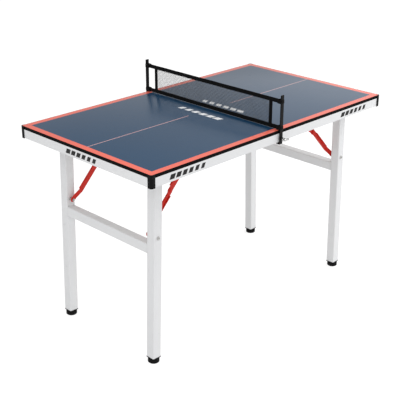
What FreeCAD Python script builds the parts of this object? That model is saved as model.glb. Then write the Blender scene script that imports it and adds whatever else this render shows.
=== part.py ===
import FreeCAD, Part
import math
import os

# Folding ping pong table with a clamp-on net.  Millimetres, +Z up.
# Origin: on the floor, under the centre of the board.
# X runs along the table's length, Y across it and along the net.
# "left" is -X, "right" is +X, "front" is -Y, "rear" is +Y.

V = FreeCAD.Vector
os.makedirs("parts", exist_ok=True)

# ---------------------------------------------------------------- board and aprons
TABLE_LENGTH = 1220.0
TABLE_WIDTH = 680.0
PLAYING_HEIGHT = 760.0
BOARD_THICKNESS = 12.0
BOARD_CORNER_RADIUS = 6.0
EDGE_BAND_THICKNESS = 1.0
APRON_HEIGHT = 32.0
APRON_SHEET = 1.5
APRON_TOP_FLANGE = 20.0
APRON_HEM = 6.0
APRON_END_GAP = 8.0
MITRE_GAP = 0.4
PROTECTOR_WALL = 2.5
PROTECTOR_WRAP = 15.0
PROTECTOR_LIP = 1.5
PROTECTOR_LIP_REACH = 12.0
PROTECTOR_GAP = 0.1
PROTECTOR_TOP_ROUND = 0.8

# ---------------------------------------------------------------- leg frames
LEG_TUBE = 36.0
LEG_WALL = 1.5
LEG_CORNER_RADIUS = 3.0
LEG_INSET_X = 112.0          # pivot axis to the board's short edge
LEG_INSET_Y = 106.0          # leg centre to the board's long edge
LEG_LEAN = 1.8               # degrees, feet stand outside the pivots
FRAME_STAGGER = 19.0         # left frame's pivots hang lower, so it folds over the right one
CROSSBAR_DROP = 271.5        # pivot to crossbar centre, along the leg
CROSSBAR_HEIGHT = 36.0
CROSSBAR_DEPTH = 34.0
STAY_BOLT_DROP = 226.0       # pivot to stay bolt, along the leg

# ---------------------------------------------------------------- leg brackets and pivots
BRACKET_SHEET = 2.0
BRACKET_BOARD_GAP = 1.0      # leg end to bracket plate
BRACKET_SIDE_GAP = 0.5       # leg side to bracket cheek
BRACKET_STOP_GAP = 0.3       # leaning leg to the stop web
BRACKET_STOP_DROP = 12.0     # stop web's reach below the pivot
BRACKET_CHEEK_RADIUS = 14.0
BRACKET_PLATE_INWARD = 30.0
BRACKET_PLATE_SIDE = 15.0    # plate beyond each cheek
PIVOT_RADIUS = 4.0
PIVOT_HEX = 13.0
PIVOT_HEX_HEIGHT = 5.0
PIVOT_BOLT_SHOW = 2.0        # bolt end past its nut
BORE_CLEARANCE = 0.05        # radial, every pin in its hole

# ---------------------------------------------------------------- feet
COLLAR_OVERHANG = 0.8
COLLAR_HEIGHT = 3.0
PLUG_CLEARANCE = 0.2
PLUG_DEPTH = 22.0
FOOT_GAP = 0.6
FOOT_HEIGHT = 18.0
FOOT_RADIUS = 20.5
FOOT_CHAMFER = 2.5
FOOT_STUD_RADIUS = 4.0
FOOT_STUD_LENGTH = 34.0

# ---------------------------------------------------------------- folding stays
STAY_ANGLE = 46.3            # degrees above horizontal, standing
STAY_SHEET = 2.4
STAY_WIDTH = 18.0
STAY_UPPER_WIDTH = 21.0
STAY_FLANGE = 5.0
STAY_END_CLEAR = 15.0        # flange end to pin centre
STAY_JOGGLE_START = 12.0     # along the lower link, from its bolt
STAY_JOGGLE_END = 44.0
STAY_SIDE_GAP = 0.4          # between the two links, and the upper link and its bracket
STAY_INSET = 22.6            # leg's inner side to the lower link's mid-plane
STAY_PIN_RADIUS = 3.0
STAY_HEX = 10.0
STAY_HEAD_RADIUS = 6.5
STAY_HEAD_HEIGHT = 4.0
STAY_HEAD_ROUND = 2.0
STAY_SOCKET = 5.0            # across flats
STAY_SOCKET_DEPTH = 2.5
STAY_WASHER_RADIUS = 7.0
STAY_WASHER = 1.2
STAY_SPACER = 9.0           # tube that holds the lower link off the leg
STAY_SPACER_RADIUS = 4.5
STAY_NUT_HEIGHT = 5.0
STAY_NUT_GAP = 0.2
STAY_BOLT_SHOW = 2.5         # bolt end past its nut
RIVET_HEAD_RADIUS = 5.5
RIVET_HEAD_HEIGHT = 2.0
STAY_BRACKET_HALF = 12.0
STAY_BRACKET_PLATE = 28.0

# ---------------------------------------------------------------- screws
SCREW_RADIUS = 1.75
SCREW_LENGTH = 8.0
SCREW_HEAD_RADIUS = 3.6
SCREW_HEAD_HEIGHT = 2.0
SCREW_HEAD_CROWN = 0.7       # crown radius over the head's radius
LONG_APRON_SCREWS = 6
SHORT_APRON_SCREWS = 4

# ---------------------------------------------------------------- net
POST_WIDTH = 14.0
POST_THICKNESS = 4.0
POST_STANDOFF = 4.0          # apron face to post
POST_RISE = 127.0            # above the playing surface
HOOK_THICKNESS = 3.0
HOOK_DROP = 4.0              # gap below the apron
HOOK_RISE = 26.0
HOOK_GAP = 0.2
HOOK_BEND_RADIUS = 2.7
CLAMP_SCREW_RADIUS = 3.0
CLAMP_SCREW_DROP = 30.0      # below the playing surface
CLAMP_NUT_RADIUS = 6.5
CLAMP_NUT_HEIGHT = 4.0
CLAMP_SCREW_TIP_GAP = 0.1
CLAMP_NECK = 8.0             # screw shown between nut and wings
WING_SPAN = 30.0
WING_HEIGHT = 16.0
WING_THICKNESS = 4.0
WING_HUB_RADIUS = 5.5
WING_HUB_HEIGHT = 8.0
NET_TOP = 111.5              # top of the upper tape above the playing surface
NET_BOTTOM = 1.0             # lower tape above the playing surface
TAPE_WIDTH = 15.0
TAPE_THICKNESS = 3.0
SLEEVE_WALL = 1.2
SLEEVE_GAP = 0.2
NET_MESH_THICKNESS = 1.2
NET_END_GAP = 49.0           # post's inner face to the middle of an end band
END_BAND_WIDTH = 14.0

# ---------------------------------------------------------------- working values
OVERRUN = 1.0                # every cutter past the face it opens
NEAR = 0.001                 # two places count as the same

# ---------------------------------------------------------------- derived places
BOARD_BOTTOM = PLAYING_HEIGHT - BOARD_THICKNESS
APRON_BOTTOM = BOARD_BOTTOM - APRON_HEIGHT
LEG_HALF = LEG_TUBE / 2
LEG_X = TABLE_LENGTH / 2 - LEG_INSET_X
LEG_Y = TABLE_WIDTH / 2 - LEG_INSET_Y
CHEEK_OFFSET = LEG_HALF + BRACKET_SIDE_GAP + BRACKET_SHEET / 2
PIVOT_RIGHT_Z = BOARD_BOTTOM - BRACKET_SHEET - BRACKET_BOARD_GAP - LEG_HALF
PIVOT_Z = {-1: PIVOT_RIGHT_Z - FRAME_STAGGER, 1: PIVOT_RIGHT_Z}
LEAN = math.radians(LEG_LEAN)
STAY_RISE = math.radians(STAY_ANGLE)
# The two links are in line when the leg stands, and lie on each other when it is folded level.
STAY_SPAN = STAY_BOLT_DROP * math.cos(LEAN) / math.sin(STAY_RISE)
STAY_TOP_REACH = STAY_SPAN * math.cos(STAY_RISE) - STAY_BOLT_DROP * math.sin(LEAN)
STAY_FOLDED_GAP = STAY_BOLT_DROP - STAY_TOP_REACH
STAY_LOWER = (STAY_SPAN + STAY_FOLDED_GAP) / 2
STAY_UPPER = (STAY_SPAN - STAY_FOLDED_GAP) / 2
STAY_PLANE = LEG_Y - LEG_HALF - STAY_INSET
UPPER_PLANE = STAY_PLANE - STAY_SHEET - STAY_SIDE_GAP
EAR_PLANE = UPPER_PLANE - STAY_SHEET / 2 - STAY_SIDE_GAP - BRACKET_SHEET / 2
EYE_PLANE = LEG_Y - LEG_HALF - STAY_WASHER - STAY_SPACER - STAY_NUT_GAP - STAY_SHEET / 2
APRON_FACE = TABLE_WIDTH / 2
POST_Y = APRON_FACE + POST_STANDOFF + POST_THICKNESS / 2
NET_HALF_SPAN = POST_Y - POST_THICKNESS / 2 - NET_END_GAP
NET_BOTTOM_Z = PLAYING_HEIGHT + NET_BOTTOM
NET_TOP_Z = PLAYING_HEIGHT + NET_TOP
MESH_BOTTOM_Z = NET_BOTTOM_Z + TAPE_WIDTH
MESH_TOP_Z = NET_TOP_Z - TAPE_WIDTH

SIDES = {"left": -1, "right": 1}
ENDS = {"front": -1, "rear": 1}


# ---------------------------------------------------------------- small helpers
def save(name, solids):
    """Write one named piece, or a group of like pieces, as a STEP file."""
    shape = solids[0] if len(solids) == 1 else Part.makeCompound(solids)
    shape.exportStep(os.path.join("parts", name + ".step"))


def block(x0, x1, y0, y1, z0, z1):
    """Box between two corners, given in any order."""
    low = V(min(x0, x1), min(y0, y1), min(z0, z1))
    return Part.makeBox(abs(x1 - x0), abs(y1 - y0), abs(z1 - z0), low)


def prism(points, direction):
    """Straight prism on a closed polygon."""
    wire = Part.makePolygon([V(*p) for p in points + points[:1]])
    return Part.Face(wire).extrude(V(*direction))


def rod_y(radius, x, z, y0, y1):
    """Round bar along Y."""
    return Part.makeCylinder(radius, abs(y1 - y0), V(x, min(y0, y1), z), V(0, 1, 0))


def hex_y(across_flats, x, z, y0, y1):
    """Hexagonal bar along Y."""
    radius = across_flats / math.sqrt(3)
    points = []
    for i in range(6):
        turn = math.radians(60 * i + 30)
        points.append((x + radius * math.cos(turn), min(y0, y1), z + radius * math.sin(turn)))
    return prism(points, (0, abs(y1 - y0), 0))


def round_box(half_x, half_y, z0, z1, radius):
    """Upright box about the Z axis with rounded vertical corners."""
    shape = block(-half_x, half_x, -half_y, half_y, z0, z1)
    upright = [e for e in shape.Edges if abs(e.Vertexes[0].Z - e.Vertexes[1].Z) > NEAR]
    return shape.makeFillet(radius, upright)


def mirrored(shape, sx, sy):
    """Turn a piece made for the right rear corner into the one at (sx, sy)."""
    if sx < 0:
        shape = shape.mirror(V(0, 0, 0), V(1, 0, 0))
    if sy < 0:
        shape = shape.mirror(V(0, 0, 0), V(0, 1, 0))
    return shape


def lean(shape, side):
    """Swing a right-hand leg piece from upright to its standing lean."""
    return shape.rotated(V(LEG_X, 0, PIVOT_Z[side]), V(0, 1, 0), -LEG_LEAN)


def evenly(span, count):
    """Evenly spread positions about zero."""
    return [span * (i / (count - 1) - 0.5) for i in range(count)]


# ---------------------------------------------------------------- board
def apron_screw_places():
    inset = APRON_TOP_FLANGE / 2 + APRON_SHEET / 2
    long_span = TABLE_LENGTH - 2 * LEG_INSET_X
    short_span = TABLE_WIDTH - 2 * LEG_INSET_Y
    places = []
    for x in evenly(long_span, LONG_APRON_SCREWS):
        for end in ENDS.values():
            places.append((x, end * (TABLE_WIDTH / 2 - inset)))
    for y in evenly(short_span, SHORT_APRON_SCREWS):
        for side in SIDES.values():
            places.append((side * (TABLE_LENGTH / 2 - inset), y))
    return places


def leg_bracket_screw_places():
    across = CHEEK_OFFSET + BRACKET_SHEET / 2 + BRACKET_PLATE_SIDE / 2
    along = (BRACKET_CHEEK_RADIUS / 2, -BRACKET_PLATE_INWARD + SCREW_HEAD_RADIUS * 2)
    places = []
    for side in SIDES.values():
        for end in ENDS.values():
            for dx in along:
                for dy in (-across, across):
                    places.append((side * (LEG_X + dx), end * (LEG_Y + dy)))
    return places


def stay_bolt(side):
    """Stay bolt on the standing right-hand leg: X and Z."""
    x = LEG_X + STAY_BOLT_DROP * math.sin(LEAN)
    return x, PIVOT_Z[side] - STAY_BOLT_DROP * math.cos(LEAN)


def stay_top(side):
    """Top pin of the right-hand stay, level with the leg's pivot: X and Z."""
    bolt = stay_bolt(side)
    z = PIVOT_Z[side]
    return bolt[0] - (z - bolt[1]) / math.tan(STAY_RISE), z


def stay_knee(side):
    """Knee of the standing stay, in line between its two ends: X and Z."""
    bolt = stay_bolt(side)
    return bolt[0] - STAY_LOWER * math.cos(STAY_RISE), bolt[1] + STAY_LOWER * math.sin(STAY_RISE)


def stay_bracket_screw_places():
    along = STAY_BRACKET_HALF - SCREW_HEAD_RADIUS
    across = EAR_PLANE - STAY_BRACKET_PLATE / 2
    places = []
    for side in SIDES.values():
        top_x = stay_top(side)[0]
        for end in ENDS.values():
            for dx in (-along, along):
                places.append((side * (top_x + dx), end * across))
    return places


def screws(places, seat_z):
    """Pan-head wood screws driven up into the board."""
    solids = []
    for x, y in places:
        shank = Part.makeCylinder(SCREW_RADIUS, SCREW_LENGTH + BOARD_BOTTOM - seat_z, V(x, y, seat_z))
        head_low = V(x, y, seat_z - SCREW_HEAD_HEIGHT)
        crown = SCREW_HEAD_RADIUS * SCREW_HEAD_CROWN
        head = Part.makeCone(crown, SCREW_HEAD_RADIUS, SCREW_HEAD_HEIGHT, head_low)
        solids.append(shank.fuse(head).removeSplitter())
    return solids


def screw_holes(places, z0, z1):
    radius = SCREW_RADIUS + BORE_CLEARANCE
    return [Part.makeCylinder(radius, z1 - z0, V(x, y, z0)) for x, y in places]


def tabletop_board():
    half_x = TABLE_LENGTH / 2 - EDGE_BAND_THICKNESS
    half_y = TABLE_WIDTH / 2 - EDGE_BAND_THICKNESS
    radius = BOARD_CORNER_RADIUS - EDGE_BAND_THICKNESS
    board = round_box(half_x, half_y, BOARD_BOTTOM, PLAYING_HEIGHT, radius)
    places = apron_screw_places() + leg_bracket_screw_places() + stay_bracket_screw_places()
    hole_top = BOARD_BOTTOM + SCREW_LENGTH + BORE_CLEARANCE
    return board.cut(screw_holes(places, BOARD_BOTTOM - OVERRUN, hole_top))


def edge_band():
    half_x = TABLE_LENGTH / 2
    half_y = TABLE_WIDTH / 2
    t = EDGE_BAND_THICKNESS
    low = BOARD_BOTTOM - OVERRUN
    high = PLAYING_HEIGHT + OVERRUN
    outer = round_box(half_x, half_y, BOARD_BOTTOM, PLAYING_HEIGHT, BOARD_CORNER_RADIUS)
    inner = round_box(half_x - t, half_y - t, low, high, BOARD_CORNER_RADIUS - t)
    return outer.cut(inner)


# ---------------------------------------------------------------- aprons and corners
def apron(length, offset):
    """Folded sheet apron along X, its outer face at +Y = offset, with mitred flanges."""
    half = length / 2
    top = BOARD_BOTTOM
    t = APRON_SHEET
    section = [
        (0, top),
        (APRON_TOP_FLANGE, top),
        (APRON_TOP_FLANGE, top - t),
        (t, top - t),
        (t, APRON_BOTTOM + t),
        (APRON_HEM, APRON_BOTTOM + t),
        (APRON_HEM, APRON_BOTTOM),
        (0, APRON_BOTTOM),
    ]
    points = [(-half, offset - inward, z) for inward, z in section]
    body = prism(points, (length, 0, 0))
    reach = 2 * APRON_TOP_FLANGE
    flat = half - MITRE_GAP
    low = APRON_BOTTOM - OVERRUN
    high = top + OVERRUN
    plan = [
        (-flat, offset, low),
        (flat, offset, low),
        (flat - reach, offset - reach, low),
        (-flat + reach, offset - reach, low),
    ]
    mitre = prism(plan, (0, 0, high - low))
    stop = half - APRON_END_GAP
    ends = block(-stop, stop, offset - reach, offset + OVERRUN, low, high)
    return body.common(mitre).common(ends)


def drill_flange(body):
    low = BOARD_BOTTOM - APRON_SHEET - OVERRUN
    return body.cut(screw_holes(apron_screw_places(), low, BOARD_BOTTOM + OVERRUN))


def corner_protector():
    """Moulded corner guard of the right rear corner."""
    cx = TABLE_LENGTH / 2
    cy = TABLE_WIDTH / 2
    w = PROTECTOR_WALL
    g = PROTECTOR_GAP
    low = APRON_BOTTOM - PROTECTOR_LIP
    outer = round_box(cx + w, cy + w, low, PLAYING_HEIGHT, BOARD_CORNER_RADIUS + w)
    high = PLAYING_HEIGHT + OVERRUN
    inner = round_box(cx + g, cy + g, APRON_BOTTOM, high, BOARD_CORNER_RADIUS + g)
    wrap = PROTECTOR_WRAP
    window = block(cx - wrap, cx + 2 * w, cy - wrap, cy + 2 * w, low, PLAYING_HEIGHT)
    r = PROTECTOR_LIP_REACH
    under = block(0, cx - r, 0, cy - r, low - OVERRUN, APRON_BOTTOM + OVERRUN)
    guard = outer.common(window).cut(inner).cut(under)
    rim = []
    for edge in guard.Edges:
        box = edge.BoundBox
        outside = box.XMax > cx + w - NEAR or box.YMax > cy + w - NEAR
        if outside and box.ZMin > PLAYING_HEIGHT - NEAR and edge.Length > w + PROTECTOR_GAP:
            rim.append(edge)
    return guard.makeFillet(PROTECTOR_TOP_ROUND, rim)


# ---------------------------------------------------------------- leg brackets and pivots
def leg_bracket(side):
    """Channel bracket of the right rear leg: plate, two cheeks and the stop web."""
    z = PIVOT_Z[side]
    t = BRACKET_SHEET
    plate_low = BOARD_BOTTOM - t
    web = LEG_HALF / math.cos(LEAN) + BRACKET_STOP_DROP * math.tan(LEAN) + BRACKET_STOP_GAP
    outer = LEG_X + web + t
    inner = LEG_X - BRACKET_PLATE_INWARD
    plate_half = CHEEK_OFFSET + t / 2 + BRACKET_PLATE_SIDE
    plate = block(inner, outer, LEG_Y - plate_half, LEG_Y + plate_half, plate_low, BOARD_BOTTOM)
    web_low = z - BRACKET_STOP_DROP
    stop_web = block(outer - t, outer, LEG_Y - CHEEK_OFFSET, LEG_Y + CHEEK_OFFSET, web_low, plate_low)
    shape = plate.fuse(stop_web)
    for face in (LEG_Y - CHEEK_OFFSET - t / 2, LEG_Y + CHEEK_OFFSET - t / 2):
        cheek = block(LEG_X - BRACKET_CHEEK_RADIUS, outer, face, face + t, z, plate_low)
        tongue = block(LEG_X, outer, face, face + t, web_low, z)
        cheek = cheek.fuse([tongue, rod_y(BRACKET_CHEEK_RADIUS, LEG_X, z, face, face + t)])
        shape = shape.fuse(cheek)
    reach = CHEEK_OFFSET + t
    bore = rod_y(PIVOT_RADIUS + BORE_CLEARANCE, LEG_X, z, LEG_Y - reach, LEG_Y + reach)
    return shape.cut(bore).removeSplitter()


def leg_pivot_bolt(side):
    """Hexagon bolt with its nut, through both cheeks and the leg, at the right rear."""
    z = PIVOT_Z[side]
    face = CHEEK_OFFSET + BRACKET_SHEET / 2
    head = hex_y(PIVOT_HEX, LEG_X, z, LEG_Y + face, LEG_Y + face + PIVOT_HEX_HEIGHT)
    nut_far = LEG_Y - face - PIVOT_HEX_HEIGHT
    shank = rod_y(PIVOT_RADIUS, LEG_X, z, nut_far - PIVOT_BOLT_SHOW, LEG_Y + face)
    nut = hex_y(PIVOT_HEX, LEG_X, z, nut_far, LEG_Y - face)
    nut = nut.cut(rod_y(PIVOT_RADIUS + BORE_CLEARANCE, LEG_X, z, nut_far - OVERRUN, LEG_Y))
    return [head.fuse(shank).removeSplitter(), nut]


# ---------------------------------------------------------------- leg frame
def tube_bottom(side):
    """Lower end of the leg tube, along the leg from the pivot."""
    sole = PIVOT_Z[side] / math.cos(LEAN)
    return sole - FOOT_HEIGHT - FOOT_GAP - COLLAR_HEIGHT


def leg(side):
    """Square tube with a rounded top end, of the right rear corner."""
    z = PIVOT_Z[side]
    low = z - tube_bottom(side)
    tube = round_box(LEG_HALF, LEG_HALF, low, z + LEG_HALF, LEG_CORNER_RADIUS)
    inner_half = LEG_HALF - LEG_WALL
    inner_radius = LEG_CORNER_RADIUS - LEG_WALL
    hollow = round_box(inner_half, inner_half, low - OVERRUN, z + LEG_TUBE, inner_radius)
    tube = tube.cut(hollow)
    tube.translate(V(LEG_X, LEG_Y, 0))
    y0 = LEG_Y - LEG_TUBE
    y1 = LEG_Y + LEG_TUBE
    outline = block(LEG_X - LEG_HALF, LEG_X + LEG_HALF, y0, y1, low - OVERRUN, z)
    outline = outline.fuse(rod_y(LEG_HALF, LEG_X, z, y0, y1))
    tube = tube.common(outline)
    holes = [
        rod_y(PIVOT_RADIUS + BORE_CLEARANCE, LEG_X, z, y0, y1),
        rod_y(STAY_PIN_RADIUS + BORE_CLEARANCE, LEG_X, z - STAY_BOLT_DROP, y0, y1),
    ]
    return lean(tube.cut(holes), side)


def crossbar(side):
    """Box tube welded between the two right-hand legs."""
    z = PIVOT_Z[side] - CROSSBAR_DROP
    half_y = LEG_Y - LEG_HALF
    half_x = CROSSBAR_DEPTH / 2
    half_z = CROSSBAR_HEIGHT / 2
    bar = round_box(half_x, half_z, -half_y, half_y, LEG_CORNER_RADIUS)
    inner_radius = LEG_CORNER_RADIUS - LEG_WALL
    end = half_y + OVERRUN
    hollow = round_box(half_x - LEG_WALL, half_z - LEG_WALL, -end, end, inner_radius)
    bar = bar.cut(hollow)
    bar.rotate(V(0, 0, 0), V(1, 0, 0), 90)
    bar.translate(V(LEG_X, 0, z))
    return lean(bar, side)


def stay_bolt_set(side):
    """Bolt through the right rear leg with its flanged spacer and nut, leaning with the leg."""
    z = PIVOT_Z[side] - STAY_BOLT_DROP
    outer = LEG_Y + LEG_HALF
    inner = LEG_Y - LEG_HALF
    hole = rod_y(STAY_PIN_RADIUS + BORE_CLEARANCE, LEG_X, z, 0, outer)
    nut_face = EYE_PLANE - STAY_SHEET / 2 - STAY_NUT_GAP
    head_top = outer + STAY_HEAD_HEIGHT
    head = rod_y(STAY_HEAD_RADIUS, LEG_X, z, outer, head_top)
    rim = [e for e in head.Edges if e.BoundBox.YMin > head_top - NEAR]
    head = head.makeFillet(STAY_HEAD_ROUND, rim)
    head = head.cut(hex_y(STAY_SOCKET, LEG_X, z, head_top - STAY_SOCKET_DEPTH, head_top + OVERRUN))
    shank = rod_y(STAY_PIN_RADIUS, LEG_X, z, nut_face - STAY_NUT_HEIGHT - STAY_BOLT_SHOW, outer)
    washer = rod_y(STAY_WASHER_RADIUS, LEG_X, z, inner - STAY_WASHER, inner)
    spacer_end = inner - STAY_WASHER - STAY_SPACER
    washer = washer.fuse(rod_y(STAY_SPACER_RADIUS, LEG_X, z, spacer_end, inner)).cut(hole)
    nut = hex_y(STAY_HEX, LEG_X, z, nut_face - STAY_NUT_HEIGHT, nut_face).cut(hole)
    return [lean(s, side) for s in (head.fuse(shank).removeSplitter(), washer, nut)]


def foot_plug(side):
    """Moulded plug in the lower end of the right rear leg, with a square collar."""
    top = PIVOT_Z[side] - tube_bottom(side)
    collar_half = LEG_HALF + COLLAR_OVERHANG
    insert_half = LEG_HALF - LEG_WALL - PLUG_CLEARANCE
    plug = round_box(collar_half, collar_half, top - COLLAR_HEIGHT, top, LEG_CORNER_RADIUS)
    insert_radius = LEG_CORNER_RADIUS - LEG_WALL
    plug = plug.fuse(round_box(insert_half, insert_half, top, top + PLUG_DEPTH, insert_radius))
    bore_low = V(0, 0, top - COLLAR_HEIGHT - OVERRUN)
    plug = plug.cut(Part.makeCylinder(FOOT_STUD_RADIUS + BORE_CLEARANCE, PLUG_DEPTH * 2, bore_low))
    plug.translate(V(LEG_X, LEG_Y, 0))
    return lean(plug, side)


def levelling_foot(side):
    """Round foot on a threaded stud, its sole flat on the floor, at the right rear."""
    sole = PIVOT_Z[side] / math.cos(LEAN)
    sole_radius = FOOT_RADIUS - FOOT_CHAMFER
    top = PIVOT_Z[side] - sole + FOOT_HEIGHT
    low = PIVOT_Z[side] - sole - sole_radius * math.tan(LEAN)
    drum = Part.makeCylinder(FOOT_RADIUS, top - low, V(LEG_X, LEG_Y, low))
    edges = [e for e in drum.Edges if e.BoundBox.ZMax < low + NEAR]
    drum = drum.makeChamfer(FOOT_CHAMFER, edges)
    rim = [e for e in drum.Edges if e.BoundBox.ZMin > top - NEAR]
    drum = drum.makeFillet(FOOT_GAP, rim)
    stud = Part.makeCylinder(FOOT_STUD_RADIUS, FOOT_STUD_LENGTH, V(LEG_X, LEG_Y, top - FOOT_GAP))
    foot = lean(drum.fuse(stud).removeSplitter(), side)
    floor = block(0, TABLE_LENGTH, 0, TABLE_WIDTH, -FOOT_HEIGHT, 0)
    return foot.cut(floor)


# ---------------------------------------------------------------- folding stays
def stay_frame(shape, start, finish):
    """Lay a link, drawn along +X from the origin, on the line from start to finish."""
    turn = math.degrees(math.atan2(finish[1] - start[1], finish[0] - start[0]))
    shape.rotate(V(0, 0, 0), V(0, 1, 0), -turn)
    shape.translate(V(start[0], 0, start[1]))
    return shape


def link_outline(length, width, y0, y1):
    """Flat outline of a link with round ends about both pins."""
    half = width / 2
    return block(0, length, y0, y1, -half, half).fuse([
        rod_y(half, 0, 0, y0, y1),
        rod_y(half, length, 0, y0, y1),
    ])


def stay_lower(side):
    """Lower link: its eye lies on the spacer, then it joggles inward and turns up two flanges."""
    half = STAY_SHEET / 2
    eye = EYE_PLANE
    main = STAY_PLANE
    end = STAY_LOWER + STAY_WIDTH
    centre = [(-STAY_WIDTH, eye), (STAY_JOGGLE_START, eye), (STAY_JOGGLE_END, main), (end, main)]
    path = [(s, -STAY_WIDTH, y - half) for s, y in centre]
    path += [(s, -STAY_WIDTH, y + half) for s, y in reversed(centre)]
    points = [(s, y, z) for s, z, y in path]
    strip = prism(points, (0, 0, 2 * STAY_WIDTH))
    strip = strip.common(link_outline(STAY_LOWER, STAY_WIDTH, main - STAY_SHEET, eye + STAY_SHEET))
    flange_start = STAY_JOGGLE_END + STAY_SHEET
    flange_end = STAY_LOWER - STAY_END_CLEAR
    for edge in (-1, 1):
        rim = edge * STAY_WIDTH / 2
        inside = rim - edge * STAY_SHEET
        flange = block(flange_start, flange_end, main, main + half + STAY_FLANGE, rim, inside)
        strip = strip.fuse(flange)
    boss = rod_y(RIVET_HEAD_RADIUS, STAY_LOWER, 0, main + half, main + half + RIVET_HEAD_HEIGHT)
    eye_hole = rod_y(STAY_PIN_RADIUS + BORE_CLEARANCE, 0, 0, 0, LEG_Y)
    strip = strip.cut(eye_hole).fuse(boss).removeSplitter()
    return stay_frame(strip, stay_bolt(side), stay_knee(side))


def stay_upper(side):
    """Upper link, from its top pin to the knee, flanged toward the table's middle."""
    length = STAY_UPPER
    half = STAY_SHEET / 2
    y0 = UPPER_PLANE - half
    y1 = UPPER_PLANE + half
    link = link_outline(length, STAY_UPPER_WIDTH, y0, y1)
    for edge in (-1, 1):
        rim = edge * STAY_UPPER_WIDTH / 2
        inside = rim - edge * STAY_SHEET
        start = STAY_END_CLEAR
        link = link.fuse(block(start, length - start, y0 - STAY_FLANGE, y0, rim, inside))
    for along in (0, length):
        link = link.cut(rod_y(STAY_PIN_RADIUS + BORE_CLEARANCE, along, 0, 0, LEG_Y))
    return stay_frame(link.removeSplitter(), stay_top(side), stay_knee(side))


def knee_rivet(side):
    """Rivet head and shank that the upper link carries at the knee."""
    x, z = stay_knee(side)
    y0 = UPPER_PLANE - STAY_SHEET / 2
    y1 = UPPER_PLANE + STAY_SHEET / 2
    head = rod_y(RIVET_HEAD_RADIUS, x, z, y0 - RIVET_HEAD_HEIGHT, y0)
    return head.fuse(rod_y(STAY_PIN_RADIUS, x, z, y0, y1)).removeSplitter()


def stay_bracket(side):
    """Angle bracket under the board that carries the right rear stay's top pin."""
    x, z = stay_top(side)
    t = BRACKET_SHEET
    y0 = EAR_PLANE - t / 2
    y1 = EAR_PLANE + t / 2
    half = STAY_BRACKET_HALF
    plate = block(x - half, x + half, y0 - STAY_BRACKET_PLATE, y1, BOARD_BOTTOM - t, BOARD_BOTTOM)
    ear = block(x - half, x + half, y0, y1, z, BOARD_BOTTOM - t).fuse(rod_y(half, x, z, y0, y1))
    shape = plate.fuse(ear).cut(rod_y(STAY_PIN_RADIUS + BORE_CLEARANCE, x, z, 0, LEG_Y))
    places = [(side * px, py) for px, py in stay_bracket_screw_places() if py > 0 and px * side > 0]
    holes = screw_holes(places, BOARD_BOTTOM - t - OVERRUN, BOARD_BOTTOM + OVERRUN)
    return shape.cut(holes).removeSplitter()


def stay_top_pin(side):
    """Headed pin through the stay bracket and the upper link."""
    x, z = stay_top(side)
    y0 = EAR_PLANE - BRACKET_SHEET / 2
    y1 = UPPER_PLANE + STAY_SHEET / 2 + STAY_NUT_GAP
    pin = rod_y(STAY_PIN_RADIUS, x, z, y0, y1)
    head = rod_y(RIVET_HEAD_RADIUS, x, z, y0 - RIVET_HEAD_HEIGHT, y0)
    tail = rod_y(RIVET_HEAD_RADIUS, x, z, y1, y1 + RIVET_HEAD_HEIGHT)
    return pin.fuse([head, tail]).removeSplitter()


# ---------------------------------------------------------------- net posts and clamp screws
def net_post():
    """Rear net post: a flat bar that turns under the apron and up behind its hem."""
    half = POST_WIDTH / 2
    outer0 = POST_Y - POST_THICKNESS / 2
    outer1 = POST_Y + POST_THICKNESS / 2
    low = APRON_BOTTOM - HOOK_DROP - HOOK_THICKNESS
    inner1 = APRON_FACE - APRON_HEM - HOOK_GAP
    inner0 = inner1 - HOOK_THICKNESS
    bar = block(-half, half, outer0, outer1, low, PLAYING_HEIGHT + POST_RISE)
    foot = block(-half, half, inner0, outer1, low, low + HOOK_THICKNESS)
    tongue = block(-half, half, inner0, inner1, low, APRON_BOTTOM + HOOK_RISE)
    screw_z = PLAYING_HEIGHT - CLAMP_SCREW_DROP
    nut = rod_y(CLAMP_NUT_RADIUS, 0, screw_z, outer1, outer1 + CLAMP_NUT_HEIGHT)
    hole_end = outer1 + CLAMP_NUT_HEIGHT + OVERRUN
    hole = rod_y(CLAMP_SCREW_RADIUS + BORE_CLEARANCE, 0, screw_z, outer0 - OVERRUN, hole_end)
    shape = bar.fuse([foot, tongue, nut]).cut(hole).removeSplitter()
    bends = []
    for edge in shape.Edges:
        box = edge.BoundBox
        full_width = box.XLength > POST_WIDTH - NEAR
        if full_width and box.ZMax < low + NEAR and box.YLength < NEAR:
            bends.append(edge)
    return shape.makeFillet(HOOK_BEND_RADIUS, bends)


def clamp_screw():
    """Rear wing screw whose tip presses on the apron."""
    z = PLAYING_HEIGHT - CLAMP_SCREW_DROP
    tip = APRON_FACE + CLAMP_SCREW_TIP_GAP
    hub = POST_Y + POST_THICKNESS / 2 + CLAMP_NUT_HEIGHT + CLAMP_NECK
    shank = rod_y(CLAMP_SCREW_RADIUS, 0, z, tip, hub)
    boss = rod_y(WING_HUB_RADIUS, 0, z, hub, hub + WING_HUB_HEIGHT)
    half_t = WING_THICKNESS / 2
    reach = WING_SPAN / 2 - WING_HEIGHT / 2
    root = WING_HEIGHT / 4
    wing = rod_y(WING_HEIGHT / 2, reach, 0, -half_t, half_t)
    wing = wing.fuse(block(0, reach, -half_t, half_t, -root, root))
    wing.rotate(V(0, 0, 0), V(1, 0, 0), 90)
    wing.translate(V(0, hub + WING_HUB_HEIGHT, z))
    other = wing.mirror(V(0, 0, 0), V(1, 0, 0))
    return shank.fuse([boss, wing, other]).removeSplitter()


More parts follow.
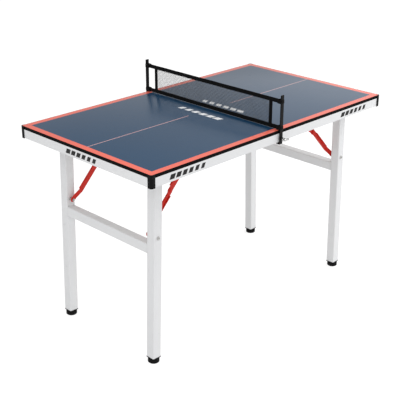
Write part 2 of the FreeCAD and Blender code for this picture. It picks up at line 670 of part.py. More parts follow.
# ---------------------------------------------------------------- net
def net_tape(z0, z1):
    """Folded tape along the net, with a sleeve over each post."""
    half = TAPE_THICKNESS / 2
    outer_x = POST_WIDTH / 2 + SLEEVE_GAP + SLEEVE_WALL
    post0 = POST_Y - POST_THICKNESS / 2 - SLEEVE_GAP
    post1 = POST_Y + POST_THICKNESS / 2 + SLEEVE_GAP
    tape = block(-half, half, -post0, post0, z0, z1)
    inner_x = outer_x - SLEEVE_WALL
    for end in ENDS.values():
        sleeve0 = end * (post0 - SLEEVE_WALL)
        sleeve1 = end * (post1 + SLEEVE_WALL)
        tape = tape.fuse(block(-outer_x, outer_x, sleeve0, sleeve1, z0, z1))
    for end in ENDS.values():
        slot = block(-inner_x, inner_x, end * post0, end * post1, z0 - OVERRUN, z1 + OVERRUN)
        tape = tape.cut(slot)
    return tape.removeSplitter()


def net_mesh():
    half_y = NET_HALF_SPAN - END_BAND_WIDTH / 2
    half_x = NET_MESH_THICKNESS / 2
    return block(-half_x, half_x, -half_y, half_y, MESH_BOTTOM_Z, MESH_TOP_Z)


def net_end_band():
    """Rear upright band that hems the net's end."""
    half_x = TAPE_THICKNESS / 2
    y0 = NET_HALF_SPAN - END_BAND_WIDTH / 2
    return block(-half_x, half_x, y0, y0 + END_BAND_WIDTH, MESH_BOTTOM_Z, MESH_TOP_Z)


# ---------------------------------------------------------------- write every piece
def save_table():
    save("tabletop_board", [tabletop_board()])
    save("edge_band", [edge_band()])
    for end, sy in ENDS.items():
        rear = apron(TABLE_LENGTH, TABLE_WIDTH / 2)
        save("apron_" + end, [drill_flange(mirrored(rear, 1, sy))])
    for side, sx in SIDES.items():
        right = apron(TABLE_WIDTH, TABLE_LENGTH / 2)
        right.rotate(V(0, 0, 0), V(0, 0, 1), -90)
        save("apron_" + side, [drill_flange(mirrored(right, sx, 1))])
    save("apron_screws", screws(apron_screw_places(), BOARD_BOTTOM - APRON_SHEET))
    brackets = leg_bracket_screw_places() + stay_bracket_screw_places()
    save("bracket_screws", screws(brackets, BOARD_BOTTOM - BRACKET_SHEET))


def save_corner(side, sx, end, sy):
    where = side + "_" + end
    low = BOARD_BOTTOM - BRACKET_SHEET - OVERRUN
    holes = screw_holes(leg_bracket_screw_places(), low, BOARD_BOTTOM + OVERRUN)
    save("corner_protector_" + where, [mirrored(corner_protector(), sx, sy)])
    save("leg_bracket_" + where, [mirrored(leg_bracket(sx), sx, sy).cut(holes)])
    save("leg_" + where, [mirrored(leg(sx), sx, sy)])
    save("levelling_foot_" + where, [mirrored(levelling_foot(sx), sx, sy)])
    save("stay_lower_" + where, [mirrored(stay_lower(sx), sx, sy)])
    save("stay_upper_" + where, [mirrored(stay_upper(sx), sx, sy)])
    save("knee_rivet_" + where, [mirrored(knee_rivet(sx), sx, sy)])
    save("stay_bracket_" + where, [mirrored(stay_bracket(sx), sx, sy)])


def save_frame(side, sx):
    pivots = []
    bolts = []
    plugs = []
    pins = []
    for sy in ENDS.values():
        pivots += [mirrored(s, sx, sy) for s in leg_pivot_bolt(sx)]
        bolts += [mirrored(s, sx, sy) for s in stay_bolt_set(sx)]
        plugs.append(mirrored(foot_plug(sx), sx, sy))
        pins.append(mirrored(stay_top_pin(sx), sx, sy))
    save("crossbar_" + side, [mirrored(crossbar(sx), sx, 1)])
    save("leg_pivot_bolts_" + side, pivots)
    save("stay_bolts_" + side, bolts)
    save("foot_plugs_" + side, plugs)
    save("stay_top_pins_" + side, pins)


def save_net():
    save("net_mesh", [net_mesh()])
    save("net_top_tape", [net_tape(MESH_TOP_Z, NET_TOP_Z)])
    save("net_bottom_tape", [net_tape(NET_BOTTOM_Z, MESH_BOTTOM_Z)])
    save("net_end_bands", [mirrored(net_end_band(), 1, sy) for sy in ENDS.values()])
    for end, sy in ENDS.items():
        save("net_post_" + end, [mirrored(net_post(), 1, sy)])
        save("clamp_screw_" + end, [mirrored(clamp_screw(), 1, sy)])


save_table()
for side_name, side_sign in SIDES.items():
    save_frame(side_name, side_sign)
    for end_name, end_sign in ENDS.items():
        save_corner(side_name, side_sign, end_name, end_sign)
save_net()
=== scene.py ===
import math
import random

import bmesh
import bpy
from mathutils import Matrix, Vector


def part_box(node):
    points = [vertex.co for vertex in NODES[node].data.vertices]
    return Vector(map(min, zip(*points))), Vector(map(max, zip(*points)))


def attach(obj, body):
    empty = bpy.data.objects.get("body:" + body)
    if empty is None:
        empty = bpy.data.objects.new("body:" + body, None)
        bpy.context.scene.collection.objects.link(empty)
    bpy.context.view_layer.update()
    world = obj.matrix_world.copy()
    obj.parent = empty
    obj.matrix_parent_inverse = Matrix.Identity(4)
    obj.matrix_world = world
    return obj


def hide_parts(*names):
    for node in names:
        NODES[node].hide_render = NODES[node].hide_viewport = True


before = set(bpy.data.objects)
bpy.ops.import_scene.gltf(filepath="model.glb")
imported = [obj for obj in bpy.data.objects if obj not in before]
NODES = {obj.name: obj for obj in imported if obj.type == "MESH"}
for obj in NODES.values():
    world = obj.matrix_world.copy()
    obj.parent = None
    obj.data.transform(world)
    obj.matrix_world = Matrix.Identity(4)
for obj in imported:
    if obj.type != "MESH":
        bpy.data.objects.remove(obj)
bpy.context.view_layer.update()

# Folding ping pong table with a clamp-on net.  Metres, +Z up, the net along Y.
MM = 0.001
SIDES = {"left": -1, "right": 1}
ENDS = {"front": -1, "rear": 1}
CORNERS = [(side, end) for side in SIDES for end in ENDS]

# ---------------------------------------------------------------- places, from the frame
board_low, board_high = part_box("tabletop_board")
band_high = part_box("edge_band")[1]
apron_low, apron_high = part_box("apron_front")
mesh_low, mesh_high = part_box("net_mesh")
top_tape_low, top_tape_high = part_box("net_top_tape")
low_tape_low, low_tape_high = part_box("net_bottom_tape")
post_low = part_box("net_post_rear")[0]
end_band_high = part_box("net_end_bands")[1]
HALF_LENGTH = band_high.x
HALF_WIDTH = band_high.y

# ---------------------------------------------------------------- painted lines and marks
BORDER = 25 * MM
CENTRE_LINE = 3 * MM
CENTRE_GAP = 112 * MM        # net to the centre line's end
TOP_MARK_FROM_NET = 61 * MM
TOP_MARK_LENGTH = 226 * MM
TOP_MARK_HEIGHT = 22 * MM
APRON_MARK_LENGTH = 168 * MM
APRON_MARK_HEIGHT = 17 * MM
APRON_MARK_FROM_CENTRE = 446 * MM
MARK_BARS = 6
MARK_SLANT = 0.45

# ---------------------------------------------------------------- net
CELL = 5.0 * MM
CORD_RADIUS = 0.49 * MM
KNOT_RADIUS = 0.64 * MM
CORD_WAVE = 0.22 * MM
CORD_SIDES = 6
STITCH_PITCH = 4.0 * MM
STITCH_LENGTH = 1.4 * MM
STITCH_WIDTH = 0.3 * MM
STITCH_RISE = 0.35 * MM
TAPE_HALF = 1.5 * MM
TAPE_CUTS = 90                # cuts that let the tape ripple
HEM_HALF = 1.4 * MM


# ---------------------------------------------------------------- shader helpers
class Value:
    """A socket that carries one number; Python's operators on it add Math nodes."""

    def __init__(self, paint, socket):
        self.paint = paint
        self.socket = socket

    def __add__(self, other):
        return self.paint.math("ADD", self, other)

    __radd__ = __add__

    def __mul__(self, other):
        return self.paint.math("MULTIPLY", self, other)

    __rmul__ = __mul__

    def __sub__(self, other):
        return self.paint.math("SUBTRACT", self, other)

    def __rsub__(self, other):
        return self.paint.math("SUBTRACT", other, self)

    def __truediv__(self, other):
        return self.paint.math("DIVIDE", self, other)

    def __abs__(self):
        return self.paint.math("ABSOLUTE", self)

    def __gt__(self, other):
        return self.paint.math("GREATER_THAN", self, other)

    def __lt__(self, other):
        return self.paint.math("LESS_THAN", self, other)

    def fraction(self):
        return self.paint.math("FRACT", self)

    def above(self, level, blur):
        """0 below level, 1 above it, with a soft edge of width blur."""
        return self.paint.math("ADD", (self - level) / blur, 0.5, clamp=True)


class Paint:
    """A material on Object coordinates, built node by node."""

    def __init__(self, name, **constants):
        self.material = bpy.data.materials.new(name)
        self.material.use_nodes = True
        self.nodes = self.material.node_tree.nodes
        self.links = self.material.node_tree.links
        self.surface = self.nodes["Principled BSDF"]
        for socket, value in constants.items():
            self.surface.inputs[socket.replace("_", " ")].default_value = value
        self.place = self.node("ShaderNodeTexCoord").outputs["Object"]
        axes = self.node("ShaderNodeSeparateXYZ", {}, {0: self.place}).outputs
        self.x, self.y, self.z = (Value(self, socket) for socket in axes)

    def node(self, kind, settings=None, inputs=None):
        made = self.nodes.new(kind)
        for key, value in (settings or {}).items():
            if key == "stops":
                for stop, (position, colour) in zip(made.color_ramp.elements, value):
                    stop.position = position
                    stop.color = colour
            else:
                setattr(made, key, value)
        for key, value in (inputs or {}).items():
            value = value.socket if isinstance(value, Value) else value
            if isinstance(value, bpy.types.NodeSocket):
                self.links.new(value, made.inputs[key])
            else:
                made.inputs[key].default_value = value
        return made

    def math(self, operation, *values, clamp=False):
        settings = {"operation": operation, "use_clamp": clamp}
        return Value(self, self.node("ShaderNodeMath", settings, dict(enumerate(values))).outputs[0])

    def smaller(self, a, b):
        return self.math("MINIMUM", a, b)

    def larger(self, a, b):
        return self.math("MAXIMUM", a, b)

    def stretched(self, scale):
        """Object coordinates scaled by axis."""
        return self.node("ShaderNodeMapping", {}, {"Vector": self.place, "Scale": scale}).outputs[0]

    def noise(self, scale, detail=2.0, roughness=0.5, vector=None):
        inputs = {
            "Vector": vector or self.place,
            "Scale": scale,
            "Detail": detail,
            "Roughness": roughness,
        }
        return Value(self, self.node("ShaderNodeTexNoise", {}, inputs).outputs[0])

    def cells(self, scale, feature="F1", vector=None):
        inputs = {"Vector": vector or self.place, "Scale": scale}
        made = self.node("ShaderNodeTexVoronoi", {"feature": feature}, inputs)
        return Value(self, made.outputs["Distance"])

    def mix(self, factor, first, second):
        inputs = {0: factor, 6: first, 7: second}
        return self.node("ShaderNodeMix", {"data_type": "RGBA"}, inputs).outputs[2]

    def use(self, normal_height=None, bump=0.0, **sockets):
        """Link the varying maps; bump is the height's real depth in metres."""
        for socket, value in sockets.items():
            value = value.socket if isinstance(value, Value) else value
            self.links.new(value, self.surface.inputs[socket.replace("_", " ")])
        if normal_height is not None:
            inputs = {"Height": normal_height, "Distance": bump, "Strength": 1.0}
            normal = self.node("ShaderNodeBump", {}, inputs).outputs[0]
            self.links.new(normal, self.surface.inputs["Normal"])
        return self.material


def rgb(red, green, blue):
    return (red, green, blue, 1.0)


def slanted_bars(paint, along, up, length, height):
    """Mask of a plain motif: slanted bars that thin out, centred where along and up are 0."""
    leaned = along - up * MARK_SLANT
    share = leaned / length + 0.5
    inside = (share > 0.0) * (share < 1.0) * (abs(up) < height / 2)
    bar = (share * MARK_BARS).fraction()
    return inside * (bar < 0.82 - share * 0.3)


# ---------------------------------------------------------------- materials
def lacquered_board():
    paint = Paint("slate_lacquer", IOR=1.5)
    cloud = paint.noise(3.0, 3.0)
    mottle = paint.noise(260.0, 2.0)
    navy = paint.mix(cloud, rgb(0.0040, 0.038, 0.092), rgb(0.0060, 0.046, 0.108))
    navy = paint.mix(mottle * 0.35, navy, rgb(0.011, 0.058, 0.125))
    coral_shade = paint.mix(cloud, rgb(0.74, 0.125, 0.085), rgb(0.82, 0.155, 0.105))
    from_edge = paint.smaller(HALF_LENGTH - abs(paint.x), HALF_WIDTH - abs(paint.y))
    line_blur = 0.35 * MM
    border = 1.0 - from_edge.above(BORDER, line_blur)
    line = 1.0 - abs(paint.y).above(CENTRE_LINE / 2, line_blur)
    line = line * abs(paint.x).above(CENTRE_GAP, line_blur)
    from_net = abs(paint.x) - TOP_MARK_FROM_NET
    marks = slanted_bars(paint, paint.y, from_net, TOP_MARK_LENGTH, TOP_MARK_HEIGHT)
    colour = paint.mix(line, navy, rgb(0.72, 0.40, 0.40))
    colour = paint.mix(border, colour, coral_shade)
    colour = paint.mix(marks, colour, rgb(0.83, 0.84, 0.85))
    fibre = paint.noise(700.0, 3.0, 0.7)
    panel = paint.mix(fibre, rgb(0.44, 0.42, 0.39), rgb(0.58, 0.56, 0.53))
    top = paint.z.above(board_high.z - 0.6 * MM, 0.2 * MM)
    scratches = paint.noise(1.0, 4.0, 0.6, paint.stretched((9.0, 420.0, 1.0)))
    dull = (1.0 - paint.cells(11.0).above(0.10, 0.05)) * 0.03
    sheen = 0.27 + cloud * 0.05 + scratches.above(0.66, 0.1) * 0.05 + dull
    peel = paint.noise(330.0, 2.0) + paint.larger(border, line) * 4.0
    return paint.use(
        normal_height=peel * top + fibre * (1.0 - top) * 8.0,
        bump=0.006 * MM,
        Base_Color=paint.mix(top, panel, colour),
        Roughness=sheen * top + (1.0 - top) * 0.75,
    )


def powder_coat(name, dark, light, marked=None):
    """Light grey powder coat; marked is None, "front" or "side" for the aprons' motif."""
    paint = Paint(name, IOR=1.48, Specular_IOR_Level=0.3)
    cloud = paint.noise(6.0, 3.0)
    fine = paint.noise(900.0, 2.0)
    colour = paint.mix(cloud * 0.6 + fine * 0.4, dark, light)
    scuff = paint.noise(45.0, 5.0, 0.65).above(0.70, 0.10) * 0.35
    colour = paint.mix(scuff, colour, rgb(0.52, 0.52, 0.53))
    if marked:
        up = paint.z - (apron_low.z + apron_high.z) / 2
        if marked == "front":
            face = abs(paint.y).above(HALF_WIDTH - 0.5 * MM, 0.2 * MM)
            along = abs(paint.x) - APRON_MARK_FROM_CENTRE
            along = along * paint.math("SIGN", paint.x * paint.y) * -1.0
        else:
            face = abs(paint.x).above(HALF_LENGTH - 0.5 * MM, 0.2 * MM)
            along = paint.y * paint.math("SIGN", paint.x)
        bars = slanted_bars(paint, along, up, APRON_MARK_LENGTH, APRON_MARK_HEIGHT)
        colour = paint.mix(bars * face, colour, MARK_BLACK)
    return paint.use(
        normal_height=fine + paint.noise(2600.0, 1.0) * 0.5,
        bump=0.03 * MM,
        Base_Color=colour,
        Roughness=0.36 + cloud * 0.08 + scuff * 0.4,
    )


def moulded_black(name, shade, roughness, grain, shine=0.12):
    paint = Paint(name, IOR=1.5, Specular_IOR_Level=shine)
    cloud = paint.noise(18.0, 3.0)
    pits = paint.cells(1500.0)
    dark = rgb(shade * 0.8, shade * 0.8, shade * 0.85)
    light = rgb(shade * 1.5, shade * 1.5, shade * 1.6)
    return paint.use(
        normal_height=pits,
        bump=grain,
        Base_Color=paint.mix(cloud, dark, light),
        Roughness=roughness + cloud * 0.1 + pits * 0.08,
    )


def coloured_paint(name, dark, light, roughness, shine):
    """Smooth paint on sheet steel."""
    paint = Paint(name, IOR=1.5, Specular_IOR_Level=shine)
    cloud = paint.noise(14.0, 3.0)
    chips = paint.noise(240.0, 4.0, 0.7).above(0.745, 0.02)
    colour = paint.mix(cloud, dark, light)
    return paint.use(
        normal_height=paint.noise(420.0, 2.0) - chips * 0.6,
        bump=0.03 * MM,
        Base_Color=paint.mix(chips, colour, rgb(0.12, 0.11, 0.11)),
        Roughness=roughness + cloud * 0.08 + chips * 0.3,
    )


def plated(name, shade, tint, roughness):
    paint = Paint(name, Metallic=1.0)
    cloud = paint.noise(60.0, 3.0)
    spangle = paint.cells(320.0)
    dark = rgb(shade * 0.86 * tint[0], shade * 0.86 * tint[1], shade * 0.86 * tint[2])
    light = rgb(shade * tint[0], shade * tint[1], shade * tint[2])
    return paint.use(
        normal_height=paint.noise(1400.0, 2.0),
        bump=0.006 * MM,
        Base_Color=paint.mix(cloud * 0.6 + spangle * 0.4, dark, light),
        Roughness=roughness + spangle * 0.10 + cloud * 0.06,
    )


def woven_tape():
    """Black polyester tape in a fine twill, its grooves darkened with painted shade."""
    paint = Paint(
        "woven_black_tape",
        Sheen_Weight=0.03,
        Sheen_Roughness=0.5,
        Specular_IOR_Level=0.1,
    )
    twill = paint.math("SINE", (paint.y + paint.z) * (2 * math.pi / (1.1 * MM)))
    weft = paint.math("SINE", (paint.y - paint.z) * (2 * math.pi / (0.55 * MM)))
    fuzz = paint.noise(900.0, 3.0)
    # the weave's height; the base colour follows it too, so the twill's low grooves carry painted
    # shade
    weave_height_and_groove_shade = twill * 0.35 + weft * 0.15 + 0.5
    dark, light = rgb(0.001, 0.001, 0.0012), rgb(0.005, 0.005, 0.0055)
    return paint.use(
        normal_height=weave_height_and_groove_shade + fuzz * 0.5,
        bump=0.12 * MM,
        # painted shade: the base colour darkens in the weave's low grooves; the fuzz part is random
        # fibre tone
        Base_Color=paint.mix(weave_height_and_groove_shade * 0.6 + fuzz * 0.4, dark, light),
        Roughness=0.78 + fuzz * 0.15,
    )


def twisted_cord():
    """Dark nylon cord of the net, its twist grooves darkened with painted shade."""
    paint = Paint("net_nylon", IOR=1.5)
    twist = paint.math("SINE", (paint.y + paint.z + paint.x) * (2 * math.pi / (0.9 * MM)))
    fuzz = paint.noise(1500.0, 2.0)
    # the twist's height; the base colour follows it too, so the cord's grooves carry painted shade
    twist_height_and_groove_shade = twist * 0.5 + 0.5
    dark, light = rgb(0.003, 0.003, 0.004), rgb(0.010, 0.010, 0.011)
    return paint.use(
        normal_height=twist_height_and_groove_shade,
        bump=0.08 * MM,
        # painted shade: the base colour darkens in the twist's grooves; the fuzz part is random fibre
        # tone
        Base_Color=paint.mix(twist_height_and_groove_shade * 0.5 + fuzz * 0.5, dark, light),
        Roughness=0.55 + fuzz * 0.2,
    )


MARK_BLACK = rgb(0.004, 0.004, 0.004)
LACQUER = lacquered_board()
GREY_DARK = rgb(0.70, 0.705, 0.715)
GREY_LIGHT = rgb(0.78, 0.785, 0.795)
GREY = powder_coat("light_grey_powder_coat", GREY_DARK, GREY_LIGHT)
GREY_FRONT = powder_coat("light_grey_long_apron", GREY_DARK, GREY_LIGHT, "front")
GREY_SIDE = powder_coat("light_grey_short_apron", GREY_DARK, GREY_LIGHT, "side")
EDGE_BLACK = moulded_black("edge_band_black", 0.001, 0.50, 0.010 * MM, 0.06)
PLASTIC = moulded_black("moulded_black", 0.003, 0.46, 0.05 * MM)
RUBBER = moulded_black("foot_rubber", 0.005, 0.62, 0.08 * MM)
RED_DARK = rgb(0.52, 0.014, 0.007)
RED_LIGHT = rgb(0.66, 0.024, 0.012)
RED = coloured_paint("stay_red", RED_DARK, RED_LIGHT, 0.30, 0.22)
POST_DARK = rgb(0.003, 0.003, 0.003)
POST_LIGHT = rgb(0.007, 0.007, 0.007)
BLACK_PAINT = coloured_paint("post_black", POST_DARK, POST_LIGHT, 0.40, 0.12)
ZINC = plated("zinc_plate", 0.60, (1.0, 0.99, 0.96), 0.28)
BRIGHT = plated("bright_plate", 0.88, (1.0, 1.0, 1.0), 0.16)
TAPE = woven_tape()
CORD = twisted_cord()


# ---------------------------------------------------------------- mesh helpers
def finish_piece(name, mesh_data, body, material, replaced=(), angle=32.0):
    """Turn a bmesh into a smooth-shaded piece that rides on its body."""
    mesh = bpy.data.meshes.new(name)
    mesh_data.to_mesh(mesh)
    mesh_data.free()
    mesh.shade_smooth()
    mesh.set_sharp_from_angle(angle=math.radians(angle))
    mesh.materials.append(material)
    piece = bpy.data.objects.new(name, mesh)
    bpy.context.scene.collection.objects.link(piece)
    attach(piece, body)
    if replaced:
        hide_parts(*replaced)
    return piece


def bevel_edges(mesh_data, edges, width, segments=2):
    bmesh.ops.bevel(
        mesh_data,
        geom=edges,
        offset=width,
        offset_type="OFFSET",
        segments=segments,
        profile=0.5,
        affect="EDGES",
        clamp_overlap=True,
        material=-1,
    )


def sharp_edges(mesh_data, degrees=30.0):
    limit = math.radians(degrees)
    return [e for e in mesh_data.edges if len(e.link_faces) == 2 and e.calc_face_angle() > limit]


def eased(node, name, body, material, width, segments=2):
    """A CAD node's own shape, merged, with its edges eased by width."""
    mesh_data = bmesh.new()
    mesh_data.from_mesh(NODES[node].data)
    bmesh.ops.remove_doubles(mesh_data, verts=mesh_data.verts, dist=0.004 * MM)
    flat = math.radians(0.8)
    bmesh.ops.dissolve_limit(mesh_data, angle_limit=flat, verts=mesh_data.verts, edges=mesh_data.edges)
    bevel_edges(mesh_data, sharp_edges(mesh_data), width, segments)
    piece = finish_piece(name, mesh_data, body, material, (node,))
    weighted = piece.modifiers.new("even_shading", "WEIGHTED_NORMAL")
    weighted.keep_sharp = True
    return piece


def rounded_block(low, high, width, segments=3):
    """Box between two corners with all its edges rounded."""
    mesh_data = bmesh.new()
    bmesh.ops.create_cube(mesh_data, size=1.0)
    bmesh.ops.scale(mesh_data, vec=high - low, verts=mesh_data.verts)
    bmesh.ops.translate(mesh_data, vec=(high + low) / 2, verts=mesh_data.verts)
    bevel_edges(mesh_data, list(mesh_data.edges), width, segments)
    return mesh_data


def add_copy(target, source_mesh, matrix):
    """Append a mesh to a bmesh, moved by a matrix."""
    before = len(target.verts)
    target.from_mesh(source_mesh)
    target.verts.ensure_lookup_table()
    bmesh.ops.transform(target, matrix=matrix, verts=target.verts[before:])


def as_mesh(mesh_data, name):
    mesh = bpy.data.meshes.new(name)
    mesh_data.to_mesh(mesh)
    mesh_data.free()
    return mesh


# ---------------------------------------------------------------- board, band, aprons, corners
def make_board():
    mesh_data = bmesh.new()
    bmesh.ops.create_cube(mesh_data, size=1.0)
    bmesh.ops.scale(mesh_data, vec=board_high - board_low, verts=mesh_data.verts)
    bmesh.ops.translate(mesh_data, vec=(board_high + board_low) / 2, verts=mesh_data.verts)
    uprights = [e for e in mesh_data.edges if abs(e.verts[0].co.z - e.verts[1].co.z) > MM]
    bevel_edges(mesh_data, uprights, 5 * MM, 8)
    rims = [e for e in mesh_data.edges if len({round(f.normal.z) for f in e.link_faces}) == 2]
    bevel_edges(mesh_data, rims, 0.25 * MM, 2)
    finish_piece("playing_board", mesh_data, "table", LACQUER, ("tabletop_board",))


make_board()
eased("edge_band", "black_edge_band", "table", EDGE_BLACK, 0.3 * MM)
for end in ENDS:
    eased("apron_" + end, "long_apron_" + end, "table", GREY_FRONT, 0.6 * MM, 3)
for side in SIDES:
    eased("apron_" + side, "short_apron_" + side, "table", GREY_SIDE, 0.6 * MM, 3)
for side, end in CORNERS:
    where = side + "_" + end
    protector, guard = "corner_protector_" + where, "corner_guard_" + where
    eased(protector, guard, "table", PLASTIC, 0.5 * MM, 3)

# ---------------------------------------------------------------- leg frames
for side, end in CORNERS:
    where = side + "_" + end
    frame_body = side + "_leg_frame"
    lower_body = where + "_stay_lower"
    upper_body = where + "_stay_upper"
    eased("leg_" + where, "leg_tube_" + where, frame_body, GREY, 0.25 * MM)
    foot_body = where + "_foot"
    eased("levelling_foot_" + where, "foot_" + where, foot_body, RUBBER, 0.6 * MM, 3)
    eased("stay_lower_" + where, "lower_link_" + where, lower_body, RED, 0.7 * MM, 3)
    eased("stay_upper_" + where, "upper_link_" + where, upper_body, RED, 0.7 * MM, 3)
    eased("knee_rivet_" + where, "rivet_" + where, upper_body, ZINC, 0.6 * MM, 3)
    eased("leg_bracket_" + where, "hinge_bracket_" + where, "table", ZINC, 0.4 * MM)
    eased("stay_bracket_" + where, "stay_angle_" + where, "table", ZINC, 0.4 * MM)
for side in SIDES:
    frame_body = side + "_leg_frame"
    eased("crossbar_" + side, "cross_tube_" + side, frame_body, GREY, 0.25 * MM)
    eased("foot_plugs_" + side, "tube_plugs_" + side, frame_body, PLASTIC, 0.4 * MM)
    eased("stay_bolts_" + side, "stay_fixings_" + side, frame_body, ZINC, 0.4 * MM)
    eased("leg_pivot_bolts_" + side, "pivot_fixings_" + side, "table", ZINC, 0.5 * MM)
    eased("stay_top_pins_" + side, "top_pins_" + side, "table", ZINC, 0.5 * MM)
eased("apron_screws", "apron_screw_heads", "table", ZINC, 0.3 * MM)
eased("bracket_screws", "bracket_screw_heads", "table", ZINC, 0.3 * MM)

# ---------------------------------------------------------------- net posts and screws
for end in ENDS:
    eased("net_post_" + end, "post_" + end, "table", BLACK_PAINT, 0.5 * MM, 3)
    screw_body = end + "_clamp_screw"
    eased("clamp_screw_" + end, "wing_screw_" + end, screw_body, BRIGHT, 0.9 * MM, 3)


# ---------------------------------------------------------------- net
def cord_mesh(length, steps, axis):
    """One cord of the net, waving over and under those it crosses."""
    mesh_data = bmesh.new()
    bmesh.ops.create_circle(mesh_data, cap_ends=True, segments=CORD_SIDES, radius=CORD_RADIUS)
    top = list(mesh_data.faces)
    bmesh.ops.reverse_faces(mesh_data, faces=top)
    for step in range(steps):
        made = bmesh.ops.extrude_face_region(mesh_data, geom=top)["geom"]
        verts = [g for g in made if isinstance(g, bmesh.types.BMVert)]
        swing = CORD_WAVE * (-1 if step % 2 else 1) * (0.5 if step in (0, steps - 1) else 1.0)
        bmesh.ops.translate(mesh_data, vec=(swing, 0, length / steps), verts=verts)
        if step:
            bmesh.ops.delete(mesh_data, geom=top, context="FACES_ONLY")
        top = [g for g in made if isinstance(g, bmesh.types.BMFace)]
    if axis == "Y":
        quarter_turn = Matrix.Rotation(math.radians(-90), 3, "X")
        bmesh.ops.rotate(mesh_data, cent=(0, 0, 0), matrix=quarter_turn, verts=mesh_data.verts)
    bmesh.ops.recalc_face_normals(mesh_data, faces=mesh_data.faces)
    return as_mesh(mesh_data, "cord_" + axis)


def make_net():
    tuck = 2 * MM
    span = mesh_high.y - mesh_low.y
    height = mesh_high.z - mesh_low.z
    columns = round(span / CELL)
    rows = round(height / CELL)
    upright = cord_mesh(height + 2 * tuck, 2 * (rows + 1), "Z")
    level = cord_mesh(span + 2 * tuck, 2 * (columns + 1), "Y")
    knot_data = bmesh.new()
    bmesh.ops.create_icosphere(knot_data, subdivisions=1, radius=KNOT_RADIUS)
    knot = as_mesh(knot_data, "knot")
    net = bmesh.new()
    ys = [mesh_low.y + span * (i + 0.5) / columns for i in range(columns)]
    zs = [mesh_low.z + height * (i + 0.5) / rows for i in range(rows)]
    for y in ys:
        add_copy(net, upright, Matrix.Translation((-CORD_WAVE / 2, y, mesh_low.z - tuck)))
    for z in zs:
        add_copy(net, level, Matrix.Translation((CORD_WAVE / 2, mesh_low.y - tuck, z)))
        for y in ys:
            add_copy(net, knot, Matrix.Translation((0, y, z)))
    covered = sum(f.calc_area() for f in net.faces) / 2
    piece = finish_piece("net_cords", net, "table", CORD, ("net_mesh",))
    return piece, span, height, covered


def stitch_row(mesh_data, start, step, count, size):
    """A row of small thread beads."""
    bead_data = bmesh.new()
    bmesh.ops.create_icosphere(bead_data, subdivisions=1, radius=1.0)
    bmesh.ops.scale(bead_data, vec=size, verts=bead_data.verts)
    bead = as_mesh(bead_data, "bead")
    for i in range(count):
        add_copy(mesh_data, bead, Matrix.Translation(start + step * i))


def make_tape(name, node, low, high, seed):
    """Folded tape with its stitching, and a sleeve round each post."""
    rng = random.Random(seed)
    sleeve_in = post_low.y - 1.4 * MM
    tape_low = Vector((-TAPE_HALF, -sleeve_in, low.z))
    tape_high = Vector((TAPE_HALF, sleeve_in, high.z))
    mesh_data = rounded_block(tape_low, tape_high, 0.9 * MM)
    for i in range(1, TAPE_CUTS):
        y = -sleeve_in + 2 * sleeve_in * i / TAPE_CUTS
        geometry = list(mesh_data.verts) + list(mesh_data.edges) + list(mesh_data.faces)
        bmesh.ops.bisect_plane(mesh_data, geom=geometry, plane_co=(0, y, 0), plane_no=(0, 1, 0))
    phases = [rng.uniform(0, 2 * math.pi) for _ in range(4)]
    for vert in mesh_data.verts:
        share = 1.0 - (abs(vert.co.y) / sleeve_in) ** 4
        wave = math.sin(vert.co.y * 31 + phases[0]) + 0.6 * math.sin(vert.co.y * 73 + phases[1])
        ripple = math.sin(vert.co.y * 47 + phases[2]) + 0.5 * math.sin(vert.co.y * 112 + phases[3])
        vert.co.x += 0.28 * MM * wave * share
        vert.co.z += 0.14 * MM * ripple * share
    for face in (-1, 1):
        for z in (low.z + 2.0 * MM, high.z - 2.0 * MM):
            count = int(2 * (sleeve_in - 4 * MM) / STITCH_PITCH)
            start = Vector((face * TAPE_HALF, -sleeve_in + 4 * MM, z))
            along = Vector((0, STITCH_PITCH, 0))
            stitch_row(mesh_data, start, along, count, (STITCH_RISE, STITCH_LENGTH, STITCH_WIDTH))
    for end in ENDS.values():
        outer_low = Vector((low.x, end * sleeve_in, low.z))
        outer_high = Vector((high.x, end * high.y, high.z))
        corners = [Vector(map(min, outer_low, outer_high)), Vector(map(max, outer_low, outer_high))]
        sleeve = rounded_block(corners[0], corners[1], 2.2 * MM, 4)
        caps = [f for f in sleeve.faces if abs(f.normal.z) > 0.9]
        bmesh.ops.delete(sleeve, geom=caps, context="FACES")
        bmesh.ops.solidify(sleeve, geom=list(sleeve.faces), thickness=1.1 * MM)
        add_copy(mesh_data, as_mesh(sleeve, name + "_sleeve"), Matrix.Identity(4))
    bmesh.ops.recalc_face_normals(mesh_data, faces=mesh_data.faces)
    return finish_piece(name, mesh_data, "table", TAPE, (node,), 50.0)


def make_end_bands():
    """Upright hems at both ends of the net, stitched along both sides."""
    bands = bmesh.new()
    for end in ENDS.values():
        ys = sorted((end * mesh_high.y, end * end_band_high.y))
        low = Vector((-HEM_HALF, ys[0], mesh_low.z - MM))
        high = Vector((HEM_HALF, ys[1], mesh_high.z + MM))
        add_copy(bands, as_mesh(rounded_block(low, high, 0.8 * MM), "hem"), Matrix.Identity(4))
        count = int((high.z - low.z - 4 * MM) / STITCH_PITCH)
        for face in (-1, 1):
            for y in (low.y + 2 * MM, high.y - 2 * MM):
                start = Vector((face * HEM_HALF, y, low.z + 3 * MM))
                upward = Vector((0, 0, STITCH_PITCH))
                stitch_row(bands, start, upward, count, (STITCH_RISE, STITCH_WIDTH, STITCH_LENGTH))
    return finish_piece("net_hems", bands, "table", TAPE, ("net_end_bands",), 50.0)


net, net_span, net_height, net_covered = make_net()
top_tape = make_tape("top_tape", "net_top_tape", top_tape_low, top_tape_high, 3)
low_tape = make_tape("low_tape", "net_bottom_tape", low_tape_low, low_tape_high, 8)
hems = make_end_bands()


# ---------------------------------------------------------------- stage
FLOOR_HALF = 12.0
FLOOR_SHADE = 0.8
FLOOR_GLOW = 0.15
FLOOR_WHITE = 1.25            # strength of the white that evens out the floor
FLOOR_WHITE_SHARE = 0.60
SURROUND_LEFT = 0.62          # strength of the surround on each side
SURROUND_RIGHT = 0.98
SURROUND_BLEND = 0.20


